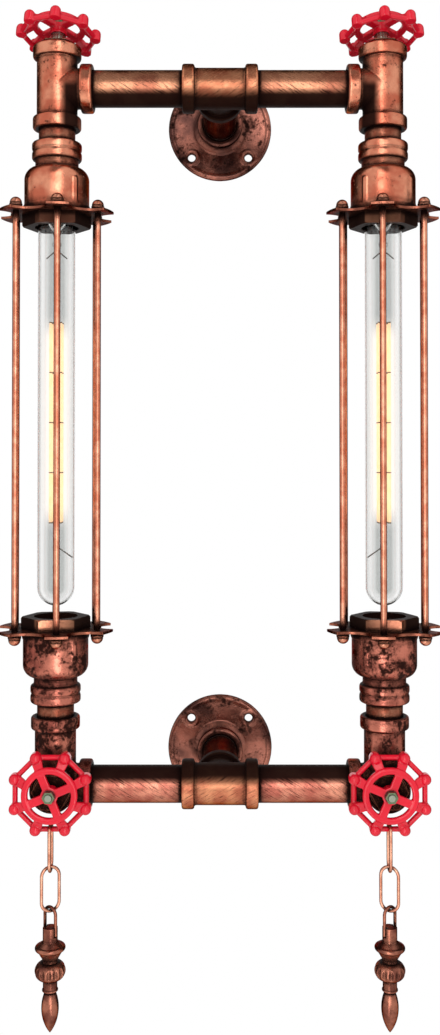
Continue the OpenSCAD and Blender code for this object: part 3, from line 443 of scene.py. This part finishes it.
# Machined piece: the solid with its sharp edges eased
def eased_copy(name, node, ease):
    piece = merged_copy(name, node)
    shape = bmesh.new()
    shape.from_mesh(piece.data)
    bmesh.ops.dissolve_limit(shape, angle_limit=math.radians(0.5), verts=shape.verts, edges=shape.edges)
    shape.to_mesh(piece.data)
    shape.free()
    bevel = piece.modifiers.new("ease", "BEVEL")
    bevel.width = ease
    bevel.segments = 3
    bevel.limit_method = "ANGLE"
    bevel.angle_limit = math.radians(32)
    bevel.harden_normals = True
    smooth_faces(piece)
    return settled(piece)


def laid(piece, place):
    piece.data.transform(place)
    if place.to_3x3().determinant() < 0:
        piece.data.flip_normals()
    return piece


def moved_copy(name, piece, place):
    return laid(plain_object(name, piece.data.copy()), place)


across = Matrix.Scale(-1, 4, (1, 0, 0))


# Spins a half section of radius and height about Z; a UV map unrolls it in metres
def turned(name, section, sides, closed=False):
    shape = bmesh.new()
    unrolled = shape.loops.layers.uv.new("unrolled")
    ways = [(math.cos(2 * math.pi * i / sides), math.sin(2 * math.pi * i / sides)) for i in range(sides)]
    rings = []
    for radius, height in section:
        if radius < 1e-7:
            rings.append([shape.verts.new((0, 0, height))] * sides)
        else:
            rings.append([shape.verts.new((radius * x, radius * y, height)) for x, y in ways])
    run = 0.0
    pairs = [(i, i + 1) for i in range(len(section) - 1)]
    if closed:
        pairs.append((len(section) - 1, 0))
    widest = max(radius for radius, height in section)
    for low, high in pairs:
        reach = math.dist(section[low], section[high])
        for i in range(sides):
            j = (i + 1) % sides
            corners = [(rings[low][i], run, i), (rings[low][j], run, i + 1),
                       (rings[high][j], run + reach, i + 1), (rings[high][i], run + reach, i)]
            kept = []
            for corner in corners:
                if corner[0] not in [k[0] for k in kept]:
                    kept.append(corner)
            if len(kept) < 3:
                continue
            face = shape.faces.new([k[0] for k in kept])
            face.smooth = True
            for loop, corner in zip(face.loops, kept):
                loop[unrolled].uv = (corner[1], corner[2] / sides * 2 * math.pi * widest)
        run += reach
    bmesh.ops.recalc_face_normals(shape, faces=shape.faces)
    mesh = bpy.data.meshes.new(name)
    shape.to_mesh(mesh)
    shape.free()
    return plain_object(name, mesh)


def arc(centre, radius, start, end, steps):
    angles = [math.radians(start + (end - start) * i / steps) for i in range(steps + 1)]
    return [(centre[0] + radius * math.cos(a), centre[1] + radius * math.sin(a)) for a in angles]


def centre_of(node):
    low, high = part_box(node)
    return (low + high) / 2


def size_of(node):
    low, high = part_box(node)
    return high - low


def joined(name, pieces):
    shape = bmesh.new()
    for piece in pieces:
        shape.from_mesh(piece.data)
        old = piece.data
        bpy.data.objects.remove(piece)
        bpy.data.meshes.remove(old)
    mesh = bpy.data.meshes.new(name)
    shape.to_mesh(mesh)
    shape.free()
    return plain_object(name, mesh)


def dress(piece, finish, slot, body, *replaced):
    piece.data.materials.clear()
    piece.data.materials.append(finish)
    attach(piece, body)
    if replaced:
        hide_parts(*replaced)
    return piece


def coat(finish, *names):
    for name in names:
        for slot in nodes[name].material_slots:
            slot.material = finish


# Geometry node trees
def made_by(tree, name, values):
    piece = plain_object(name, bpy.data.meshes.new(name))
    step = piece.modifiers.new(tree.name, "NODES")
    step.node_group = tree
    for item in tree.interface.items_tree:
        if item.item_type == "SOCKET" and item.in_out == "INPUT" and item.name in values:
            step[item.identifier] = values[item.name]
    return settled(piece)


# Copies of one piece set round a circle, each turned to face outwards
def ring_of_pieces_tree():
    tree, given, result = new_group(
        "ring_of_pieces", "GeometryNodeTree",
        [("Shape", "shape"), ("Piece", "piece"), ("Count", "count"), ("Radius", "value"), ("Turn", "value"),
         ("Centre", "vector"), ("Finish", "finish")], [("Shape", "shape")])
    circle = put(tree, "GeometryNodeMeshCircle", Vertices=given["Count"], Radius=given["Radius"])
    spot = put(tree, "ShaderNodeSeparateXYZ", Vector=put(tree, "GeometryNodeInputPosition").outputs[0])
    bearing = math_node(tree, "ARCTAN2", spot.outputs["Y"], spot.outputs["X"])
    outward = put(tree, "ShaderNodeCombineXYZ", Z=bearing).outputs[0]
    facing = put(tree, "FunctionNodeEulerToRotation", Euler=outward)
    source = put(tree, "GeometryNodeObjectInfo", Object=given["Piece"])
    copies = put(tree, "GeometryNodeInstanceOnPoints", Points=circle.outputs["Mesh"],
                 Instance=source.outputs["Geometry"], Rotation=facing.outputs[0])
    spin = put(tree, "ShaderNodeCombineXYZ", Z=given["Turn"])
    placed = put(tree, "GeometryNodeTransform", Geometry=copies.outputs[0], Translation=given["Centre"],
                 Rotation=spin.outputs[0])
    whole = put(tree, "GeometryNodeRealizeInstances", Geometry=placed.outputs[0])
    done = put(tree, "GeometryNodeSetMaterial", Geometry=whole.outputs[0], Material=given["Finish"])
    tree.links.new(done.outputs[0], result["Shape"])
    return tree


# Link of bent wire: a rectangle with its corners rounded off, swept by a round wire
def wire_link_tree():
    tree, given, result = new_group(
        "wire_link", "GeometryNodeTree",
        [("Shape", "shape"), ("Width", "value"), ("Length", "value"), ("Wire", "value"), ("Dent", "value"),
         ("Turn", "value"), ("Centre", "vector"), ("Finish", "finish")], [("Shape", "shape")])
    inner_width = math_node(tree, "SUBTRACT", given["Width"], given["Wire"])
    inner_length = math_node(tree, "SUBTRACT", given["Length"], given["Wire"])
    outline = put(tree, "GeometryNodeCurvePrimitiveQuadrilateral", Width=inner_width, Height=inner_length)
    bend = math_node(tree, "MULTIPLY", inner_width, 0.4999)
    bent = put(tree, "GeometryNodeFilletCurve", {"mode": "POLY"}, Curve=outline.outputs[0], Radius=bend,
               Count=14)
    evened = put(tree, "GeometryNodeResampleCurve", Curve=bent.outputs[0], Count=96)
    wire = put(tree, "GeometryNodeCurvePrimitiveCircle", Resolution=14,
               Radius=math_node(tree, "MULTIPLY", given["Wire"], 0.5))
    swept = put(tree, "GeometryNodeCurveToMesh", Curve=evened.outputs[0], Profile_Curve=wire.outputs[0])
    place = put(tree, "GeometryNodeInputPosition").outputs[0]
    dents = put(tree, "ShaderNodeTexNoise", Vector=place, Scale=260.0, Detail=1.0)
    depth = math_node(tree, "MULTIPLY", math_node(tree, "SUBTRACT", dents.outputs[0], 0.55), given["Dent"])
    inward = put(tree, "ShaderNodeVectorMath", {"operation": "SCALE"},
                 Vector=put(tree, "GeometryNodeInputNormal").outputs[0], Scale=depth)
    worn = put(tree, "GeometryNodeSetPosition", Geometry=swept.outputs[0], Offset=inward.outputs[0])
    smooth = put(tree, "GeometryNodeSetShadeSmooth", Geometry=worn.outputs[0])
    spin = put(tree, "ShaderNodeCombineXYZ", X=math.pi / 2, Z=given["Turn"])
    placed = put(tree, "GeometryNodeTransform", Geometry=smooth.outputs[0], Translation=given["Centre"],
                 Rotation=spin.outputs[0])
    whole = put(tree, "GeometryNodeRealizeInstances", Geometry=placed.outputs[0])
    done = put(tree, "GeometryNodeSetMaterial", Geometry=whole.outputs[0], Material=given["Finish"])
    tree.links.new(done.outputs[0], result["Shape"])
    return tree


ring_of_pieces = ring_of_pieces_tree()
wire_link = wire_link_tree()


# Castings, each with a twin across the middle or one level down
def make_castings():
    drop = Matrix.Translation(centre_of("lower_middle_tee") - centre_of("upper_middle_tee"))
    sides = ("left", "right", across)
    levels = ("upper", "lower", drop)
    tee_skin = (0.55 * mm, 8, 0.3)
    cup_skin = (0.6 * mm, 5, 0.3)
    flange_skin = (0.55 * mm, 5, 0.35)
    for places, node, casting, finish, twin_finish, skin in (
            (sides, "top_tee", "top_tee_casting", top_tee_copper_shaded_neck, top_tee_copper_shaded_neck, tee_skin),
            (levels, "middle_tee", "middle_tee_casting", upper_tee_copper_shaded_below, lower_tee_copper_shaded_above, tee_skin),
            (sides, "corner_fitting", "corner_casting", lower_cast_copper_darker, lower_cast_copper_darker, tee_skin),
            (sides, "holder", "holder_casting", cast_copper, cast_copper, cup_skin),
            (sides, "lower_cup", "cup_casting", lower_cast_copper_darker, lower_cast_copper_darker, cup_skin),
            (levels, "wall_flange", "flange_casting", flange_copper, flange_copper, flange_skin)):
        first, second, way = places
        made = cast_copy(f"{first}_{casting}", f"{first}_{node}", *skin)
        twin = moved_copy(f"{second}_{casting}", made, way)
        dress(made, finish, "antique_copper", "frame", f"{first}_{node}")
        dress(twin, twin_finish, "antique_copper", "frame", f"{second}_{node}")


def make_handwheels():
    for place in ("top", "front"):
        wheel = cast_copy(f"left_{place}_wheel_casting", f"left_{place}_handwheel", 0.42 * mm, 7, 0.55)
        other = moved_copy(f"right_{place}_wheel_casting", wheel, across)
        dress(wheel, red_enamel, "red_enamel", f"left_{place}_wheel", f"left_{place}_handwheel")
        dress(other, red_enamel, "red_enamel", f"right_{place}_wheel", f"right_{place}_handwheel")


# Pipes: plain tubes with chamfered ends, unrolled for the brush strokes
def make_pipes():
    for node, finish in (("upper_left_crossbar", upper_pipe_copper_shaded_below),
                         ("upper_right_crossbar", upper_pipe_copper_shaded_below),
                         ("lower_left_crossbar", lower_pipe_copper_shaded_above),
                         ("lower_right_crossbar", lower_pipe_copper_shaded_above),
                         ("upper_standoff_pipe", standoff_copper),
                         ("lower_standoff_pipe", standoff_copper)):
        reach = size_of(node)
        level = reach.x > reach.y
        length = reach.x if level else reach.y
        radius = reach.z / 2
        wall, chamfer, bands = 2.9 * mm, 0.6 * mm, 12
        bore = radius - wall
        half = length / 2
        stops = [-half + chamfer + (length - 2 * chamfer) * i / bands for i in range(bands + 1)]
        section = [(bore, -half), (radius - chamfer, -half)] + [(radius, z) for z in stops]
        section += [(radius - chamfer, half), (bore, half)]
        pipe = turned(f"{node}_tube", section, 96, True)
        lie = Matrix.Rotation(math.pi / 2, 4, "Y" if level else "X")
        laid(pipe, Matrix.Translation(centre_of(node)) @ lie)
        dress(pipe, finish, "antique_copper", "frame", node)


# Cages: scalloped plates, ring nuts, rods and domed nuts
def make_cages():
    for side in ("left", "right"):
        for level in ("upper", "lower"):
            plate = eased_copy(f"{side}_{level}_plate_pressing", f"{side}_{level}_plate", 0.35 * mm)
            dress(plate, plate_copper, "antique_copper", "frame", f"{side}_{level}_plate")
    ring_nut = eased_copy("ring_nut_turnings", "ring_nuts", 0.4 * mm)
    dress(ring_nut, ring_nut_copper_shaded, "dark_copper", "frame", "ring_nuts")

    for side, turn in (("left", cage_turn), ("right", -cage_turn)):
        low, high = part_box(f"{side}_cage_rods")
        floor_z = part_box(f"{side}_lower_plate")[1].z
        roof_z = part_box(f"{side}_upper_plate")[0].z
        thin, thick = 1.96 * mm, 2.4 * mm
        ease, clear, bands = 0.3 * mm, 0.02 * mm, 24
        run = roof_z - floor_z - 2 * ease
        section = [(0, low.z), (thin - ease, low.z), (thin, low.z + ease), (thin, floor_z + clear),
                   (thick - ease, floor_z + clear), (thick, floor_z + ease)]
        section += [(thick, floor_z + ease + run * i / bands) for i in range(1, bands + 1)]
        section += [(thick - ease, roof_z - clear), (thin, roof_z - clear), (thin, high.z - ease),
                    (thin - ease, high.z), (0, high.z)]
        rod = turned("one_rod", section, 20)
        middle = centre_of(f"{side}_cage_rods")
        rods = made_by(ring_of_pieces, f"{side}_rod_ring", {
            "Piece": rod, "Count": rod_count, "Radius": rod_circle, "Turn": turn - math.pi / 2,
            "Centre": (middle.x, middle.y, 0), "Finish": rod_copper})
        bpy.data.objects.remove(rod)
        dress(rods, rod_copper, "rod_copper", "frame", f"{side}_cage_rods")

    nut = domed_nut()
    flipped = moved_copy("upturned_nut", nut, Matrix.Scale(-1, 4, (0, 0, 1)))
    rings = []
    for side, turn in (("left", cage_turn), ("right", -cage_turn)):
        middle = centre_of(f"{side}_cage_rods")
        for piece, seat in ((nut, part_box(f"{side}_upper_plate")[1].z),
                            (flipped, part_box(f"{side}_lower_plate")[0].z)):
            rings.append(made_by(ring_of_pieces, "nut_ring", {
                "Piece": piece, "Count": rod_count, "Radius": rod_circle, "Turn": turn - math.pi / 2,
                "Centre": (middle.x, middle.y, seat), "Finish": rod_copper}))
    bpy.data.objects.remove(nut)
    bpy.data.objects.remove(flipped)
    dress(joined("cage_nut_rings", rings), rod_copper, "rod_copper", "frame", "cage_nuts")


# Cap nut on z = 0: chamfered hexagon, neck groove and dome
def domed_nut():
    radius, hex_radius, hex_height = 4.5 * mm, 5 * mm, 3.4 * mm
    chamfer, groove, lip = 0.35 * mm, 0.5 * mm, 0.25 * mm
    shape = bmesh.new()
    made = bmesh.ops.create_cone(shape, cap_ends=True, segments=6, radius1=hex_radius, radius2=hex_radius,
                                 depth=hex_height)
    bmesh.ops.translate(shape, verts=made["verts"], vec=(0, 0, hex_height / 2))
    bmesh.ops.bevel(shape, geom=shape.edges[:], offset=chamfer, segments=2, affect="EDGES")
    mesh = bpy.data.meshes.new("nut_hexagon")
    shape.to_mesh(mesh)
    shape.free()
    hexagon = plain_object("nut_hexagon", mesh)
    neck = radius - groove
    section = [(0, hex_height - groove), (neck, hex_height - groove), (neck, hex_height),
               (radius, hex_height + lip)]
    dome = turned("nut_dome", section + arc((0, hex_height + lip), radius, 8, 90, 9), 24)
    return smooth_faces(joined("one_cap_nut", [hexagon, dome]))


# Bulb glasses: a neck, a shoulder, a long tube and a round end, each with its inner wall
def make_bulbs():
    for side in ("left", "right"):
        low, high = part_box(f"{side}_bulb_glass")
        middle = (low + high) / 2
        radius, wall, neck = 14 * mm, 0.9 * mm, 12.4 * mm
        shoulder, shoulder_run = high.z - 4 * mm, 8 * mm
        tube, tip = shoulder - shoulder_run, low.z + radius
        swell_steps, tube_steps, tip_steps, sides = 8, 20, 18, 80
        outer = [(neck, high.z), (neck, shoulder)]
        for i in range(1, swell_steps + 1):
            swell = 0.5 - 0.5 * math.cos(math.pi * i / swell_steps)
            outer.append((neck + (radius - neck) * swell, shoulder - shoulder_run * i / swell_steps))
        outer += [(radius, tube + (tip - tube) * i / tube_steps) for i in range(1, tube_steps)]
        inner = [(r - wall, z) for r, z in outer]
        outer += arc((0, tip), radius, 0, -90, tip_steps)
        outer[-1] = (0, low.z)
        inner += arc((0, tip), radius - wall, 0, -90, tip_steps)
        inner[-1] = (0, low.z + wall)
        glass = turned(f"{side}_glass_tube", outer, sides)
        lining = turned("lining", inner, sides)
        rim = turned("rim", [outer[0], inner[0]], sides)
        glass = joined(f"{side}_glass_tube", [glass, lining, rim])
        shape = bmesh.new()
        shape.from_mesh(glass.data)
        bmesh.ops.remove_doubles(shape, verts=shape.verts, dist=1e-6)
        bmesh.ops.recalc_face_normals(shape, faces=shape.faces)
        shape.to_mesh(glass.data)
        shape.free()
        smooth_faces(glass)
        laid(glass, Matrix.Translation((middle.x, middle.y, 0)))
        dress(glass, tube_glass, "clear_glass", "frame", f"{side}_bulb_glass")


# Chain links of bent wire
def make_chains():
    for side, sign in (("left", 1), ("right", -1)):
        for node, body, turn in ((f"{side}_upper_link", f"{side}_link_1", math.pi / 2),
                                 (f"{side}_lower_link", f"{side}_link_2", sign * link_turn)):
            link = made_by(wire_link, f"{node}_wire", {
                "Width": link_width, "Length": size_of(node).z, "Wire": link_wire, "Dent": 0.12 * mm,
                "Turn": turn, "Centre": tuple(centre_of(node)), "Finish": chain_copper})
            dress(link, chain_copper, "chain_copper", body, node)


def make_pendants():
    pendant = cast_copy("left_pendant_turning", "left_pendant", 0.3 * mm, 3, 0.35)
    other = moved_copy("right_pendant_turning", pendant, across)
    dress(pendant, pendant_copper, "dark_copper", "left_drop", "left_pendant")
    dress(other, pendant_copper, "dark_copper", "right_drop", "right_pendant")


# Wheel nuts, and the small pieces that keep their solids
def coat_small_pieces():
    for side in ("left", "right"):
        for place in ("top", "front"):
            nut = eased_copy(f"{side}_{place}_nut_turning", f"{side}_{place}_wheel_nut", 0.4 * mm)
            dress(nut, olive_zinc, "zinc_nut", "frame", f"{side}_{place}_wheel_nut")
            coat(bright_steel, f"{side}_{place}_stem")
        coat(dark_copper, f"{side}_bail")
        coat(brass, f"{side}_bulb_cap")
    coat(nipple_copper, "column_nipples")
    coat(dark_copper, "stem_plugs")
    coat(porcelain, "socket_bodies")
    coat(brass, "socket_shells", "socket_contacts")
    coat(tube_glass, "bulb_mounts")
    coat(support_wire, "bulb_wires")
    coat(lit_strand, "bulb_filaments")
    coat(lead_sheath, "supply_leads")


# Stage: pale floor, two soft boxes, studio surround
def add_floor():
    finish, tree, shader, place = new_finish("pale_floor")
    speckle = noise(tree, place, 18.0, 4.0, 0.6)
    pale = mix_colour(tree, speckle, (0.78, 0.77, 0.75, 1), (0.84, 0.83, 0.81, 1))
    tree.links.new(pale, shader.inputs["Base Color"])
    shader.inputs["Roughness"].default_value = 0.7
    mesh = bpy.data.meshes.new("floor")
    half, near, far, level = 3.0, -3.2, 0.3, -1.05
    corners = [(-half, near, level), (half, near, level), (half, far, level), (-half, far, level)]
    mesh.from_pydata(corners, [], [(0, 1, 2, 3)])
    floor = plain_object("floor", mesh)
    mesh.materials.append(finish)


def add_soft_box(name, place, aim, width, height, brightness):
    lamp = bpy.data.lights.new(name, "AREA")
    lamp.shape = "RECTANGLE"
    lamp.size = width
    lamp.size_y = height
    lamp.energy = brightness * math.pi * width * height
    box = bpy.data.objects.new(name, lamp)
    box.location = place
    box.rotation_euler = (Vector(aim) - Vector(place)).to_track_quat("-Z", "Y").to_euler()
    box.visible_camera = False
    box.visible_transmission = False
    scene.collection.objects.link(box)


# Two fins back to back ahead of the lamp light the inner half of each column
def add_lights():
    fin_x, fin_y, width, height, brightness = 12 * mm, -800 * mm, 0.88, 1.3, 2.2
    for side, sign in (("left", -1), ("right", 1)):
        place = (sign * fin_x, fin_y, eye_height)
        add_soft_box(f"{side}_fin", place, (sign, fin_y, eye_height), width, height, brightness)


# Studio all round: white behind and through glass, a bright panel ahead, soft daylight on dull surfaces
def add_surround():
    world = bpy.data.worlds.new("studio")
    scene.world = world
    world.use_nodes = True
    tree = world.node_tree
    tree.nodes.clear()
    way = put(tree, "ShaderNodeSeparateXYZ", Vector=put(tree, "ShaderNodeTexCoord").outputs["Generated"])
    behind = step_up(tree, way.outputs["Y"], 0.8, 0.95)
    forward = math_node(tree, "MULTIPLY", way.outputs["Y"], -1.0)
    sideways = math_node(tree, "ABSOLUTE", way.outputs["X"])
    ahead = step_up(tree, forward, -0.45, 0.18)
    beside = step_up(tree, sideways, 0.12, 0.32)
    upward = math_node(tree, "ABSOLUTE", math_node(tree, "SUBTRACT", way.outputs["Z"], 0.05))
    low = step_up(tree, upward, 0.46, 0.24)
    narrow = math_node(tree, "MULTIPLY", low, step_up(tree, sideways, 0.26, 0.14))
    panel = math_node(tree, "MULTIPLY", narrow, step_up(tree, forward, 0.5, 0.8))
    level = math_node(tree, "ADD", 0.2, math_node(tree, "MULTIPLY", beside, 0.62))
    level = math_node(tree, "ADD", math_node(tree, "MULTIPLY", ahead, level), 0.03)
    level = math_node(tree, "ADD", math_node(tree, "MULTIPLY", panel, 1.5), level)
    path = put(tree, "ShaderNodeLightPath").outputs
    away = step_up(tree, way.outputs["Y"], 0.3, 0.7)
    through = math_node(tree, "MULTIPLY", path["Is Transmission Ray"], away)
    room = mix_colour(tree, math_node(tree, "MAXIMUM", behind, through), level, (1, 1, 1, 1))
    shown = mix_colour(tree, path["Is Camera Ray"], room, (1, 1, 1, 1))
    seen = math_node(tree, "MAXIMUM", path["Is Camera Ray"], path["Is Transmission Ray"])
    direct = math_node(tree, "MAXIMUM", seen, path["Is Glossy Ray"])
    slope = math_node(tree, "ADD", way.outputs["Z"], math_node(tree, "MULTIPLY", forward, 0.7))
    sky = step_up(tree, slope, -0.5, 0.9)
    soft = mix_colour(tree, sky, (0.24, 0.24, 0.24, 1), (1, 1, 1, 1))
    ambient = put(tree, "ShaderNodeBackground", Color=soft, Strength=1.0)
    scenery = put(tree, "ShaderNodeBackground", Color=shown, Strength=1.0)
    mixed = put(tree, "ShaderNodeMixShader", _0=direct, _1=ambient.outputs[0], _2=scenery.outputs[0])
    put(tree, "ShaderNodeOutputWorld", Surface=mixed.outputs[0])


add_camera()
make_castings()
make_handwheels()
make_pipes()
make_cages()
make_bulbs()
make_chains()
make_pendants()
coat_small_pieces()
add_floor()
add_lights()
add_surround()
